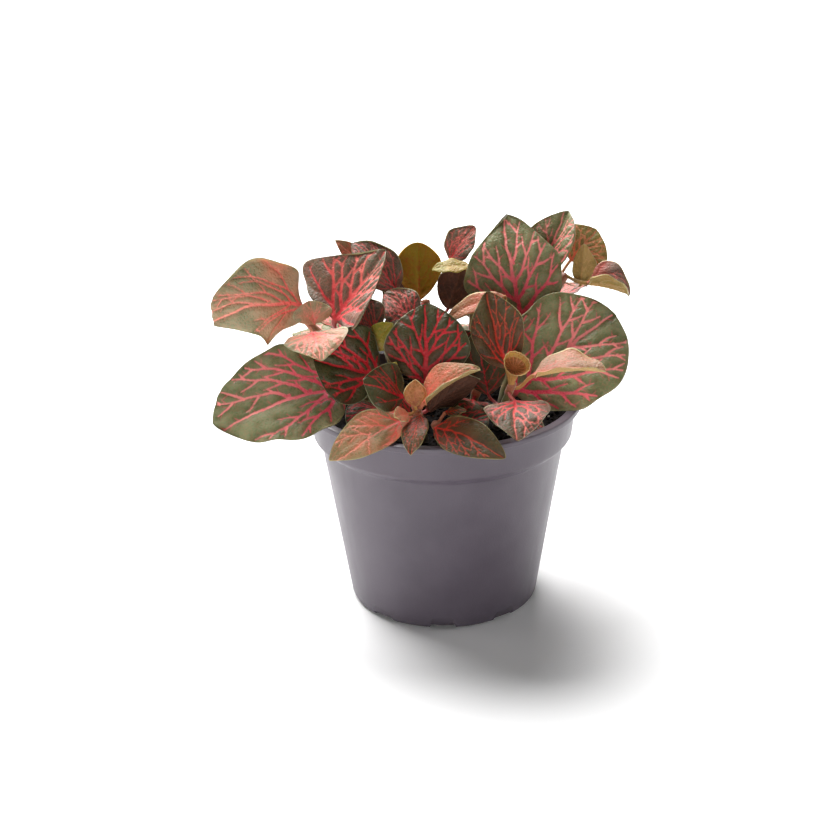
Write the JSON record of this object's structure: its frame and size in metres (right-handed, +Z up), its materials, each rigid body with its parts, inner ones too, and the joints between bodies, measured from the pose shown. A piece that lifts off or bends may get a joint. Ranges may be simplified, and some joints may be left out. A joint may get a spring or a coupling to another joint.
{
  "type": "potted nerve plant",
  "caption": "Young nerve plant with olive leaves and coral net veins, rooted in dark soil in a round tapered plastic nursery pot with a collar and drain slots.",
  "frame": {"origin": "centre of the pot's flat underside, on the surface that it stands on", "axes": "+Z up along the pot's axis, -Y towards the side that the plant is best seen from, +X to the right of that side"},
  "size_m": [0.1763, 0.1558, 0.1625],
  "materials": {
    "pot_plastic": "satin moulded plastic, mauve grey",
    "soil": "moist dark potting soil with pale perlite grains",
    "stem": "soft green-brown stem, faintly ribbed",
    "leaf_mature": "dark olive leaf with coral net veins, quilted between the veins",
    "leaf_middle": "olive leaf with salmon centre and coral veins",
    "leaf_young": "young amber and pale green leaf with fine coral lines"
  },
  "bodies": {
    "root": {"pot": "pot_plastic", "soil": "soil", "stem_front": "stem", "stem_front_low": "stem", "stem_east": "stem", "stem_west": "stem", "stem_southwest": "stem", "stem_northeast": "stem", "stem_north": "stem", "stem_northwest": "stem", "stem_heart": "stem", "stem_middle": "stem", "stem_back": "stem", "stem_back_west": "stem", "leaf_west_large": "leaf_mature", "leaf_west_upper": "leaf_middle", "leaf_west_bud_upper": "leaf_young", "leaf_west_bud_lower": "leaf_middle", "leaf_west_folded": "leaf_mature", "leaf_southwest_red": "leaf_mature", "leaf_southwest_crescent": "leaf_young", "leaf_southwest_young": "leaf_young", "leaf_southwest_strip": "leaf_mature", "leaf_front_left": "leaf_middle", "leaf_front_low": "leaf_middle", "leaf_front_right": "leaf_middle", "leaf_front_small": "leaf_young", "leaf_front_tall": "leaf_mature", "leaf_front_round": "leaf_mature", "leaf_front_trough": "leaf_middle", "leaf_front_shaded": "leaf_mature", "leaf_front_bud_upper": "leaf_young", "leaf_front_bud_lower": "leaf_young", "leaf_east_large": "leaf_mature", "leaf_east_upright": "leaf_middle", "leaf_east_ribbon": "leaf_middle", "leaf_east_peach": "leaf_young", "leaf_east_front": "leaf_middle", "leaf_east_bud": "leaf_young", "leaf_east_inner": "leaf_mature", "leaf_northeast_tall": "leaf_mature", "leaf_northeast_top": "leaf_mature", "leaf_northeast_olive": "leaf_mature", "leaf_northeast_trough": "leaf_middle", "leaf_northeast_upright": "leaf_middle", "leaf_middle_striped": "leaf_mature", "leaf_middle_grey": "leaf_mature", "leaf_north_red": "leaf_mature", "leaf_north_coral_tip": "leaf_middle", "leaf_north_backlit": "leaf_young", "leaf_north_narrow": "leaf_young", "leaf_north_coral": "leaf_middle", "leaf_north_dark_west": "leaf_mature", "leaf_north_dark_east": "leaf_mature", "leaf_back_east_large": "leaf_mature", "leaf_back_large": "leaf_mature", "leaf_back_west_large": "leaf_mature", "leaf_back_east_side": "leaf_mature", "leaf_back_west_side": "leaf_mature", "leaf_back_young_east": "leaf_middle"}
  },
  "joints": []
}
